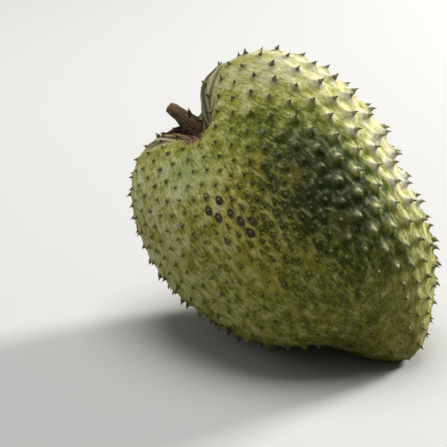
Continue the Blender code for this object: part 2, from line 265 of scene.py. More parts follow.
# pale spine roots on the flank's peaks, like the brush marks: partly scurf, partly a painted highlight
PEAK_ROOTS = (0.50, 0.46, 0.29)
VALLEY_SPINES = (0.022, 0.020, 0.006)
BARK = ((0.024, 0.013, 0.006), (0.130, 0.080, 0.036))
BARK_SPECKS = (0.22, 0.160, 0.090)
BARK_FOOT = (0.070, 0.030, 0.015)
# the bark's colours towards the stalk's end, lighter than at its foot
BARK_LIGHTER_AT_END = ((0.085, 0.048, 0.026), (0.30, 0.19, 0.115))
PITH = (0.26, 0.20, 0.13)
SEPALS = ((0.030, 0.020, 0.013), (0.16, 0.11, 0.065))
FLOOR = (0.425, 0.424, 0.424)

# --- The studio. A light's way is sideways, up and towards the camera, as the camera sees it
# (name, way, distance and size in metres, power in watts, colour)
LIGHTS = (
    ("key", (0.90, 0.45, -0.76), 4.5, 1.0, 420.0, (1.0, 0.985, 0.95)),
    ("top", (0.00, 1.00, -0.15), 3.0, 2.2, 110.0, (1.0, 0.99, 0.97)),
    ("fill", (-1.00, 0.45, -0.10), 2.0, 1.2, 8.0, (0.98, 0.99, 1.0)),
)
WORLD_STRENGTH = 0.12
FLOOR_HALF = 6.0

# --- The camera: where it stands round the fruit's core, and the core's place in its view
CAMERA_AZIMUTH = 33.6
CAMERA_ELEVATION = 20.0
CAMERA_DISTANCE = 0.8
VIEW_WIDTH = 290.55 * MM  # at the core
CORE_ASIDE = 46.15 * MM  # right of the view's middle
CORE_BELOW = 6.63 * MM  # below the view's middle
SENSOR_WIDTH = 36.0


# ---------------------------------------------------------------- the form, as in the frame


def unit(vectors):
    return vectors / np.linalg.norm(vectors, axis=-1, keepdims=True)


def direction(from_stalk, round_axis):
    """The unit vector of a direction told in degrees."""
    polar, turn = np.broadcast_arrays(np.radians(from_stalk), np.radians(round_axis))
    return np.stack([-np.cos(polar), np.sin(polar) * np.cos(turn), np.sin(polar) * np.sin(turn)], -1)


def nearness(directions, from_stalk, round_axis, spread):
    """1 at a pole, and falling away from it as a bell curve."""
    along = np.clip(directions @ direction(from_stalk, round_axis), -1.0, 1.0)
    return np.exp(-0.5 * (np.degrees(np.arccos(along)) / spread) ** 2)


def strongest(directions, circles):
    """The strongest nearness to any of the circles of a marked area."""
    return np.max([weight * nearness(directions, *circle) for weight, *circle in circles], axis=0)


def golden_spiral(count):
    """Directions spread evenly all round."""
    index = np.arange(count)
    from_stalk = np.degrees(np.arccos(1.0 - 2.0 * (index + 0.5) / count))
    return direction(from_stalk, np.degrees(index * GOLDEN_ANGLE))


def form_radius(directions):
    """How far the bare form reaches from the core, in mm."""
    halves = np.array([HALF_LENGTH, HALF_WIDTH, HALF_DEPTH])
    radius = (np.abs(directions / halves) ** FULLNESS).sum(-1) ** (-1.0 / FULLNESS)
    for _, from_stalk, round_axis, height, spread in SWELLINGS:
        radius = radius + height * nearness(directions, from_stalk, round_axis, spread)
    return radius


def form_point(directions):
    return directions * form_radius(directions)[:, None]


def tangents(directions):
    """Two unit directions across each direction: on towards the tip, and round the axis."""
    tip = np.array([1.0, 0.0, 0.0])
    onward = unit(tip - (directions @ tip)[:, None] * directions + 1e-9)
    return onward, np.cross(directions, onward)


def form_normal(directions, step=0.01):
    onward, sideways = tangents(directions)
    along = form_point(unit(directions + step * onward)) - form_point(unit(directions - step * onward))
    across = form_point(unit(directions + step * sideways)) - form_point(unit(directions - step * sideways))
    return unit(np.cross(along, across))


def to_world(vectors):
    """Vectors in the fruit's axes, turned to lie as the fruit lies."""
    tilt, roll = math.radians(TILT), math.radians(ROLL)
    axis = np.array([math.cos(tilt), 0.0, -math.sin(tilt)])
    upper = np.array([math.sin(tilt), 0.0, math.cos(tilt)])
    swollen = math.cos(roll) * upper + math.sin(roll) * np.array([0.0, 1.0, 0.0])
    return vectors @ np.array([axis, swollen, np.cross(axis, swollen)])


def wanted_spacing(directions):
    """How far apart the spines should stand there, in mm."""
    spacing = np.full(len(directions), SPACING)
    for _, from_stalk, round_axis, share, spread in SMALL_CARPELS:
        spacing *= share ** nearness(directions, from_stalk, round_axis, spread)
    return np.maximum(spacing, LEAST_SPACING)


def spine_directions():
    """Where the spines stand: picked by chance, and then spread until they are even."""
    candidates = golden_spiral(CANDIDATES)
    candidates = candidates[candidates[:, 0] > -math.cos(math.radians(BARE_ROUND_STALK))]
    points, clear = form_point(candidates), NEAREST_SHARE * wanted_spacing(candidates)
    kept = []
    for i in np.random.default_rng(SEED).permutation(len(candidates)):
        if not kept or np.linalg.norm(points[kept] - points[i], axis=1).min() > clear[i]:
            kept.append(i)
    places = candidates[kept]
    for _ in range(SPREADING_ROUNDS):
        places = pushed_apart(places)
    return places[places[:, 0] > -math.cos(math.radians(BARE_ROUND_STALK))]


def pushed_apart(places):
    """The same places, each moved a little away from those that crowd it."""
    points, spacing = form_point(places), wanted_spacing(places)
    away = points[:, None] - points[None]
    apart = np.linalg.norm(away, axis=-1)
    np.fill_diagonal(apart, math.inf)
    push = np.maximum(CROWDED - apart / (0.5 * (spacing[:, None] + spacing[None])), 0.0)
    return unit(points + PUSH * spacing[:, None] * (away * (push / apart)[..., None]).sum(1))


def spacing_of(places):
    points = form_point(places)
    apart = np.linalg.norm(points[:, None] - points[None], axis=-1)
    return np.sort(apart, axis=1)[:, 1 : 1 + NEIGHBOURS].mean(1)


def between(pair, share):
    return pair[0] + (pair[1] - pair[0]) * share


def smooth_step(low, high, value):
    share = np.clip((value - low) / (high - low), 0.0, 1.0)
    return share * share * (3.0 - 2.0 * share)


# ---------------------------------------------------------------- pieces


def new_piece(name, data, material, node):
    """A visible piece that rides on the frame's one body and stands for one of its nodes."""
    piece = bpy.data.objects.new(name, data)
    data.materials.append(material)
    bpy.context.scene.collection.objects.link(piece)
    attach(piece, "root")
    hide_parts(node)
    return piece


def add_attribute(data, name, values):
    """Stores a value, or three, at each point of a mesh, for its material."""
    kind, field = ("FLOAT_VECTOR", "vector") if values.ndim == 2 else ("FLOAT", "value")
    made = data.attributes.new(name, kind, "POINT")
    made.data.foreach_set(field, values.astype(np.float32).ravel())


def cube_sphere(cells):
    """Directions and square faces of an even net on the unit sphere."""
    mesh = bmesh.new()
    bmesh.ops.create_cube(mesh, size=2.0)
    bmesh.ops.subdivide_edges(mesh, edges=mesh.edges, cuts=cells - 1, use_grid_fill=True)
    data = bpy.data.meshes.new("net")
    mesh.to_mesh(data)
    mesh.free()
    corners = np.empty(len(data.vertices) * 3)
    data.vertices.foreach_get("co", corners)
    corners = corners.reshape(-1, 3)
    return unit(np.tan(corners * math.pi / 4)), data


def noise_at(points, scale, seed):
    """Smooth noise from -1 to 1 at each of many points."""
    shift = Vector((seed * 17.3, seed * 5.1, seed * 9.7))
    return np.array([noise.noise(Vector(point) * scale + shift) for point in points])


class Spines:
    """Where each spine stands, how far its neighbours are, and how big it is."""

    def __init__(self):
        self.places = spine_directions()
        self.points = form_point(self.places)
        self.spacing = spacing_of(self.places)
        self.onward, self.sideways = tangents(self.places)
        self.wide = np.clip((self.spacing - CLOSE) / (WIDE - CLOSE), 0.0, 1.0)
        height = to_world(self.points)[:, 2] + CORE[2]
        self.worn = np.clip((height - SPINE_BARE) / WORN_BELOW, 0.0, 1.0)
        self.length = self.worn * np.clip(SPINE_LENGTH_SHARE * self.spacing, *SPINE_LENGTHS)
        self.mound = MOUND_SHARE * np.maximum(self.spacing - MOUND_FROM, 0.0)
        self.mound *= 1.0 - CROWN_SMOOTHNESS * nearness(self.places, 0, 0, CROWN_SPREAD)
        self.mound *= FLANK_RELIEF ** nearness(self.places, *FLANK_PEAKS)
        draw = np.random.default_rng(SEED + 1)
        self.chance = draw.uniform(0.0, 1.0, (4, len(self.places)))
        self.tree = kdtree.KDTree(len(self.points))
        for i, point in enumerate(self.points):
            self.tree.insert(point, i)
        self.tree.balance()

    def nearest(self, points, count):
        """Index of, and distance to, the nearest few spines of each point."""
        found = [self.tree.find_n(Vector(point), count) for point in points]
        index = np.array([[item[1] for item in row] for row in found])
        distance = np.array([[item[2] for item in row] for row in found])
        return index, distance

    def lift(self, points, index):
        """How far the mounds lift the skin there, in mm: a long slope behind each spine, steep ahead."""
        away = points[:, None] - self.points[index]
        ahead = (away * self.onward[index]).sum(-1)
        aside = (away * self.sideways[index]).sum(-1)
        reach = np.where(ahead > 0.0, MOUND_AHEAD, MOUND_BEHIND)
        share = np.hypot(ahead / reach, aside / MOUND_ACROSS) / self.spacing[index]
        return (self.mound[index] * np.exp(-(share**MOUND_FULLNESS))).sum(1)


def bruised_spines(spines):
    """How bruised each spine's carpel is: a few in one patch on the small side of the valley."""
    return strongest(spines.places, BRUISED) * (spines.chance[2] < BRUISED_SHARE)


def along_fibres(directions):
    """Places for noise whose streaks run from the stalk to the tip."""
    off_axis = np.linalg.norm(directions[:, 1:], axis=1)
    turn = directions[:, 1:] / np.maximum(off_axis, 1e-6)[:, None]
    from_stalk = np.arccos(np.clip(-directions[:, 0], -1.0, 1.0))
    return np.column_stack([turn, from_stalk])


def along_folds(directions):
    """Places for noise whose streaks fan out from the stalk's foot."""
    centre = direction(*FOLDS_FROM)
    from_centre = directions - (directions @ centre)[:, None] * centre
    how_far = np.maximum(np.linalg.norm(from_centre, axis=1), 1e-6)[:, None]
    return from_centre / how_far + FOLD_STRETCH * how_far * centre


def skin_surface(directions, spines):
    """Points of the finished skin in the fruit's axes, and what its material needs to know of each."""
    form = form_point(directions)
    index, distance = spines.nearest(form, MOUNDS_FELT)
    nearest = index[:, 0]
    mounds = spines.lift(form, index)
    spacing = spines.spacing[nearest]
    swollen = smooth_step(*SWOLLEN, spacing)
    valley = nearness(directions, *VALLEY)
    seam = 1.0 - smooth_step(0.0, SEAM_SHARE, (distance[:, 1] - distance[:, 0]) / spacing)
    fibre, fan = along_fibres(directions), along_folds(directions)

    # where each point is round its own spine
    away = form - spines.points[nearest]
    ahead = (away * spines.onward[nearest]).sum(1)
    aside = (away * spines.sideways[nearest]).sum(1)
    reach = np.maximum(np.hypot(ahead, aside), SPOKE_MIDDLE)
    turned = SPOKES_ROUND * np.array([ahead, aside]) / reach
    spokes = np.column_stack([*turned, SPOKES_ALONG * reach])
    near_peak = np.exp(-((distance[:, 0] / (SPOKE_SHARE * spacing)) ** 2))
    behind = np.hypot(ahead + BRUSH_BEHIND * spacing, aside)
    brush = np.exp(-((behind / (BRUSH_SHARE * spacing)) ** 2)) * smooth_step(*BRUSHED, spacing)

    wrinkles = 0.5 * noise_at(fibre * WRINKLES, 1.0, 3) + 0.5 * noise_at(fibre * FINE_WRINKLES, 1.0, 4)
    folds = noise_at(fan, FOLD_SCALE, 8) * strongest(directions, FOLDED)
    lumps = LUMP_HEIGHT * noise_at(form, LUMP_SCALE, 5) + DENT_HEIGHT * noise_at(form, DENT_SCALE, 7)
    lift = mounds + SEAM_HEIGHT * seam * swollen + FOLD_HEIGHT * folds
    lift += WRINKLE_HEIGHT * wrinkles * (WRINKLED + WRINKLED_SWOLLEN * swollen + WRINKLED_VALLEY * valley)
    lift += SPOKE_HEIGHT * noise_at(spokes, 1.0, 6) * near_peak * swollen
    lift += lumps * (1.0 - nearness(directions, *SMOOTH_END))

    facts = {
        "fibre": fibre,
        "fan": fan,
        "around": np.column_stack([ahead, aside, np.zeros(len(form))]),
        "chance": spines.chance[0][nearest],
        "mounds": mounds,
        "seam": seam,
        "brush": brush * nearness(directions, *FLANK_PEAKS),
        "folds": folds,
        "swollen": swollen,
        "valley": valley,
        "bruise": bruised_spines(spines)[nearest],
    }
    for name, circles in AREAS.items():
        facts[name] = strongest(directions, circles)
    return form + lift[:, None] * form_normal(directions), facts


def in_frame(points):
    """Points in the fruit's axes, in mm, as points of the frame, in metres, kept inside the fruit's box."""
    return np.clip((to_world(points) + np.array(CORE)) * MM, *np.array(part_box("fruit")))


def build_skin(spines):
    directions, data = cube_sphere(SKIN_CELLS)
    points, facts = skin_surface(directions, spines)
    data.vertices.foreach_set("co", in_frame(points).ravel())
    data.name = "fruit_skin"
    for name, values in facts.items():
        add_attribute(data, name, values)
    data.update()
    data.shade_smooth()
    return new_piece("fruit_skin", data, skin_material(), "fruit")


def ring_faces(first, count):
    """Faces between a ring of points, which starts at first, and the ring after it."""
    faces = []
    for j in range(count):
        a, b = first + j, first + (j + 1) % count
        faces.append((a, b, b + count, a + count))
    return faces


def build_spines(spines):
    """Every spine as a little hooked thorn with a flared foot, all in one mesh."""
    standing = spines.worn > STANDING
    places, wide = spines.places[standing], spines.wide[standing]
    index, _ = spines.nearest(spines.points[standing], MOUNDS_FELT)
    outward = form_normal(places)
    onward, sideways = tangents(places)
    raised = spines.lift(spines.points[standing], index) + SPINE_RAISED
    foot = spines.points[standing] + raised[:, None] * outward
    shade, size, sway, slant = spines.chance[:, standing]
    length = spines.length[standing] * between(SPINE_SIZES, size)
    radius = np.maximum(between((SLENDER, BROAD), wide) * length, LEAST_FOOT)
    lean = np.radians(between(SPINE_LEANS, wide) + VALLEY_LEAN * nearness(places, *VALLEY))
    lean = lean * (1.0 - UPRIGHT_SHARE * nearness(places, *UPRIGHT)) + between(SLANTS, slant)
    sideward = between(SWAYS, sway)
    heading = np.cos(lean)[:, None] * outward + np.sin(lean)[:, None] * onward
    heading = unit(heading + sideward[:, None] * sideways)
    across = unit(np.cross(heading, sideways))
    beside = np.cross(across, heading)

    angles = np.arange(SPINE_ROUND) * 2 * math.pi / SPINE_ROUND
    corners, faces, along = [], [], []
    for k in range(len(places)):
        first = len(corners)
        for ring in range(SPINE_RINGS):
            share = ring / SPINE_RINGS
            width = radius[k] * (FLARE * (1.0 - share) ** FLARE_POWER + (1.0 - FLARE) * (1.0 - share))
            middle = foot[k] + heading[k] * length[k] * share
            if ring == 0:
                width *= FOOT_FLARE
                middle = middle - heading[k] * SPINE_SUNK
            middle = middle + onward[k] * HOOK * length[k] * share**HOOK_POWER
            for angle in angles:
                ribbed = width * (1.0 + RIB_DEPTH * math.sin(RIBS * angle + RIB_TURN * shade[k]))
                corners.append(middle + ribbed * (math.cos(angle) * across[k] + math.sin(angle) * beside[k]))
                along.append(share)
        corners.append(foot[k] + heading[k] * length[k] + onward[k] * HOOK * length[k])
        along.append(1.0)
        for ring in range(SPINE_RINGS - 1):
            faces += ring_faces(first + ring * SPINE_ROUND, SPINE_ROUND)
        last = first + (SPINE_RINGS - 1) * SPINE_ROUND
        for j in range(SPINE_ROUND):
            faces.append((last + j, last + (j + 1) % SPINE_ROUND, len(corners) - 1))
        faces.append(tuple(first + j for j in reversed(range(SPINE_ROUND))))

    data = bpy.data.meshes.new("fruit_spines")
    data.from_pydata(in_frame(np.array(corners)).tolist(), [], faces)
    add_attribute(data, "along", np.array(along))
    corners_each = len(corners) // len(places)
    for name, values in (
        ("tint", shade),
        ("valley", nearness(places, *VALLEY)),
        ("flank", wide * nearness(places, *FLANK_PEAKS)),
    ):
        add_attribute(data, name, np.repeat(values, corners_each))
    data.shade_smooth()
    turn_outward(data)
    return new_piece("fruit_spines", data, spine_material(), "fruit")


def turn_outward(data):
    """Turns all of a mesh's faces outward."""
    mesh = bmesh.new()
    mesh.from_mesh(data)
    bmesh.ops.recalc_face_normals(mesh, faces=mesh.faces)
    mesh.to_mesh(data)
    mesh.free()


# ---------------------------------------------------------------- the stalk


def socket_floor():
    """The middle of the socket's floor, and the way out of it along the axis, in the world."""
    angles = np.arange(SOCKET_SIDES) * 2 * math.pi / SOCKET_SIDES
    rim = SOCKET_RADIUS * np.column_stack([np.cos(angles), np.sin(angles)]) - (SOCKET_SHIFT, 0.0)
    off_axis = np.linalg.norm(rim, axis=1)
    turns = np.degrees(np.arctan2(rim[:, 1], rim[:, 0]))
    from_stalk = np.full(SOCKET_SIDES, 6.0)
    for _ in range(SOCKET_ROUNDS):
        from_stalk = np.degrees(np.arcsin(off_axis / form_radius(direction(from_stalk, turns))))
    lowest = form_point(direction(from_stalk, turns))[:, 0].max()
    floor = np.array([lowest + SOCKET_DEPTH, -SOCKET_SHIFT, 0.0])
    return Vector((to_world(floor) + np.array(CORE)) * MM), Vector(to_world(direction(0.0, 0.0)))


def stalk_place(along):
    """Point of the stalk's middle line, at a distance along it in mm, and its heading there."""
    floor, out = socket_floor()
    aside = Vector(to_world(np.array([0.0, -1.0, 0.0])))
    start = floor + out * STALK_CLEARANCE * MM
    beyond = max(along - SOCKET_DEPTH, 0.0)
    slope = math.tan(math.radians(STALK_BEND)) * beyond / (STALK_LENGTH - SOCKET_DEPTH)
    middle = start + (out * along + aside * slope * beyond / 2) * MM
    return middle, (out + aside * slope).normalized()


def bark_relief(spot, share):
    """How far the bark stands out, in mm, at a spot on the unit circle and a share of the length."""
    ridges, fine_ridges, scars = (
        noise.noise(spot * fine_round + Vector((shift, 0, share * fine_along)))
        for fine_round, fine_along, shift in (RIDGES, FINE_RIDGES, SCARS)
    )
    knobbly = float(smooth_step(*KNOBS_START, share) * smooth_step(*KNOBS_END, share))
    scar_height = SCAR_HEIGHT + KNOB_HEIGHT * knobbly
    return RIDGE_HEIGHT * ridges + FINE_RIDGE_HEIGHT * fine_ridges + scar_height * scars


def build_stalk():
    """The stalk as a tube of fine rings, with bark ridges, scars and a torn end."""
    shares, radii = zip(*STALK_PROFILE)
    front = Vector(to_world(np.array([0.0, 0.0, 1.0])))
    corners, faces, along, grain = [], [], [], []
    for ring in range(STALK_RINGS + 1):
        share = ring / STALK_RINGS
        middle, heading = stalk_place(share * STALK_LENGTH)
        side = heading.cross(front).normalized()
        upper = side.cross(heading)
        radius = float(np.interp(share, shares, radii))
        for j in range(STALK_ROUND):
            angle = 2 * math.pi * j / STALK_ROUND
            spot = Vector((math.cos(angle), math.sin(angle), 0.0))
            grown = (radius - BARK_INSET + bark_relief(spot, share)) * MM
            corners.append(middle + grown * (spot.x * side + spot.y * upper))
            along.append(share)
            grain.append((spot.x, spot.y, share * STALK_LENGTH / radius))
        if ring < STALK_RINGS:
            faces += ring_faces(ring * STALK_ROUND, STALK_ROUND)

    # the end is drawn in over a few rings, to a rough hollow pith
    last = STALK_RINGS * STALK_ROUND
    end, heading = stalk_place(STALK_LENGTH)
    for ring, (inner, rise) in enumerate(END_RINGS):
        faces += ring_faces(len(corners) - STALK_ROUND, STALK_ROUND)
        for j in range(STALK_ROUND):
            rough = noise.noise(Vector((j * 0.35, ring * 0.9, 2.0))) * END_ROUGHNESS
            corners.append(end + (corners[last + j] - end) * inner + heading * (rise + rough - END_SUNK) * MM)
            along.append(1.0 + inner * 0.01)
            grain.append((inner, j * 0.2, END_GRAIN))
    faces.append(tuple(range(len(corners) - STALK_ROUND, len(corners))))
    faces.append(tuple(reversed(range(STALK_ROUND))))

    data = bpy.data.meshes.new("stalk_bark")
    data.from_pydata(corners, [], faces)
    add_attribute(data, "along", np.array(along))
    add_attribute(data, "grain", np.array(grain))
    data.shade_smooth()
    turn_outward(data)
    return new_piece("stalk_bark", data, bark_material(), "stalk")


def sepal_corners(foot, heading, width, index):
    """One sepal's points, row by row from its root, on its one face and then on the other."""
    side = width.cross(heading).normalized()
    width = heading.cross(side)
    corners = []
    for face_side in (1, -1):
        for row in range(SEPAL_ROWS + 1):
            share = row / SEPAL_ROWS
            opening = math.radians(SEPAL_SPREAD * between(SEPAL_OPENING, share))
            up = heading * math.cos(opening) + side * math.sin(opening)
            outward = up.cross(width)
            half = 0.5 * SEPAL_WIDTH * (1.0 - share**SEPAL_TAPER) + SEPAL_LEAST_HALF
            thickest = 0.5 * SEPAL_THICKNESS * (1.0 - SEPAL_THINNING * share)
            for column in range(SEPAL_COLUMNS + 1):
                across = 2.0 * column / SEPAL_COLUMNS - 1.0
                thick = thickest * (1.0 - across**2) + SEPAL_EDGE
                cup = SEPAL_CUP * across**2 * (1.0 - share)
                crinkled = Vector((across * CRINKLES_ACROSS, share * CRINKLES_ALONG, index * 3.0))
                crinkle = CRINKLE_HEIGHT * noise.noise(crinkled)
                corners.append(foot + MM * (
                    side * SEPAL_ROOT
                    + up * (SEPAL_LENGTH * share)
                    + width * half * across
                    + outward * (face_side * thick + cup + crinkle)
                ))
    return corners


def sepal_faces(first):
    """One sepal's faces, whose points start at first: its two sides, and the rim that joins them."""
    in_row = SEPAL_COLUMNS + 1
    size = (SEPAL_ROWS + 1) * in_row
    faces = []
    for row in range(SEPAL_ROWS):
        for column in range(SEPAL_COLUMNS):
            a = first + row * in_row + column
            b, c, d = a + 1, a + in_row + 1, a + in_row
            faces.append((a, b, c, d))
            faces.append((a + size, d + size, c + size, b + size))
    rim = [first + column for column in range(SEPAL_COLUMNS)]
    rim += [first + row * in_row + SEPAL_COLUMNS for row in range(SEPAL_ROWS)]
    rim += [first + SEPAL_ROWS * in_row + column for column in range(SEPAL_COLUMNS, 0, -1)]
    rim += [first + row * in_row for row in range(SEPAL_ROWS, 0, -1)]
    for a, b in zip(rim, rim[1:] + rim[:1]):
        faces.append((a, a + size, b + size, b))
    return faces


def build_sepals():
    """The dried sepals: thin curled blades that grow out of the stalk's foot."""
    front = Vector(to_world(np.array([0.0, 0.0, 1.0])))
    foot, heading = stalk_place(SEPAL_AT)
    corners, faces = [], []
    for index in range(SEPAL_COUNT):
        turn = math.radians(SEPAL_TURN + 360 * index / SEPAL_COUNT)
        faces += sepal_faces(len(corners))
        corners += sepal_corners(foot, heading, Matrix.Rotation(turn, 3, heading) @ front, index)
    data = bpy.data.meshes.new("stalk_sepals")
    data.from_pydata(corners, [], faces)
    data.shade_smooth()
    turn_outward(data)
    return new_piece("stalk_sepals", data, sepal_material(), "stalk")


# ---------------------------------------------------------------- materials


class Paint:
    """Builds one Principled material from nodes. Its values are sockets or plain numbers and colours."""

    def __init__(self, name):
        self.material = bpy.data.materials.new(name)
        self.material.use_nodes = True
        self.tree = self.material.node_tree
        self.shader = self.tree.nodes["Principled BSDF"]
        self.facts = {}

    def link(self, value, socket):
        if isinstance(value, bpy.types.NodeSocket):
            self.tree.links.new(value, socket)
        elif isinstance(value, tuple) and len(value) == 3 and socket.type == "RGBA":
            socket.default_value = (*value, 1.0)
        else:
            socket.default_value = value

    def set(self, name, value):
        self.link(value, self.shader.inputs[name])

    def fact(self, name, vector=False):
        """What was stored at each point of the mesh under that name."""
        if name not in self.facts:
            node = self.tree.nodes.new("ShaderNodeAttribute")
            node.attribute_name = name
            self.facts[name] = node.outputs["Vector" if vector else "Fac"]
        return self.facts[name]

    def place(self):
        """Each point's own place, in metres."""
        return self.tree.nodes.new("ShaderNodeTexCoord").outputs["Object"]

    def scaled(self, vector, scale):
        node = self.tree.nodes.new("ShaderNodeMapping")
        self.link(vector, node.inputs["Vector"])
        node.inputs["Scale"].default_value = scale
        return node.outputs["Vector"]

    def noise(self, vector, scale, detail=3.0, roughness=0.6, distortion=0.0):
        node = self.tree.nodes.new("ShaderNodeTexNoise")
        self.link(vector, node.inputs["Vector"])
        node.inputs["Scale"].default_value = scale
        node.inputs["Detail"].default_value = detail
        node.inputs["Roughness"].default_value = roughness
        node.inputs["Distortion"].default_value = distortion
        return node.outputs["Fac"]

    def step(self, value, low, high, to_high=1.0, to_low=0.0):
        """A smooth step as the value goes from low to high."""
        node = self.tree.nodes.new("ShaderNodeMapRange")
        node.interpolation_type = "SMOOTHSTEP"
        self.link(value, node.inputs["Value"])
        node.inputs["From Min"].default_value = low
        node.inputs["From Max"].default_value = high
        node.inputs["To Min"].default_value = to_low
        node.inputs["To Max"].default_value = to_high
        return node.outputs["Result"]

    def math(self, operation, a, b=0.0):
        node = self.tree.nodes.new("ShaderNodeMath")
        node.operation = operation
        self.link(a, node.inputs[0])
        self.link(b, node.inputs[1])
        return node.outputs[0]

    def times(self, *values):
        result = values[0]
        for value in values[1:]:
            result = self.math("MULTIPLY", result, value)
        return result

    def sum(self, *values):
        result = values[0]
        for value in values[1:]:
            result = self.math("ADD", result, value)
        return result

    def centred(self, value):
        return self.math("SUBTRACT", value, 0.5)

    def rest_of(self, value):
        return self.math("SUBTRACT", 1.0, value)

    def greater(self, a, b):
        return self.math("MAXIMUM", a, b)

    def vector(self, operation, a, b=None):
        node = self.tree.nodes.new("ShaderNodeVectorMath")
        node.operation = operation
        self.link(a, node.inputs[0])
        if b is not None:
            self.link(b, node.inputs[1])
        return node.outputs["Value" if operation == "LENGTH" else "Vector"]

    def combined(self, x, y, z):
        node = self.tree.nodes.new("ShaderNodeCombineXYZ")
        for value, socket in zip((x, y, z), node.inputs):
            self.link(value, socket)
        return node.outputs["Vector"]

    def parts(self, vector):
        node = self.tree.nodes.new("ShaderNodeSeparateXYZ")
        self.link(vector, node.inputs["Vector"])
        return node.outputs

    def blend(self, share, a, b):
        """From one value to another."""
        node = self.tree.nodes.new("ShaderNodeMix")
        self.link(share, node.inputs["Factor"])
        self.link(a, node.inputs["A"])
        self.link(b, node.inputs["B"])
        return node.outputs["Result"]

    def ramp(self, value, stops):
        """A colour from a ramp of (place, colour)."""
        node = self.tree.nodes.new("ShaderNodeValToRGB")
        self.link(value, node.inputs["Fac"])
        points = node.color_ramp.elements
        for _ in stops[2:]:
            points.new(0.5)
        for point, (place, colour) in zip(points, stops):
            point.position = place
            point.color = (*colour, 1.0)
        return node.outputs["Color"]

    def mix(self, share, a, b, kind="MIX"):
        """From one colour to another."""
        node = self.tree.nodes.new("ShaderNodeMix")
        node.data_type = "RGBA"
        node.blend_type = kind
        sockets = {socket.identifier: socket for socket in [*node.inputs, *node.outputs]}
        self.link(share, sockets["Factor_Float"])
        self.link(a, sockets["A_Color"])
        self.link(b, sockets["B_Color"])
        return sockets["Result_Color"]

    def bump(self, height, distance, strength, normal=None):
        node = self.tree.nodes.new("ShaderNodeBump")
        node.inputs["Strength"].default_value = strength
        node.inputs["Distance"].default_value = distance
        self.link(height, node.inputs["Height"])
        if normal is not None:
            self.link(normal, node.inputs["Normal"])
        return node.outputs["Normal"]


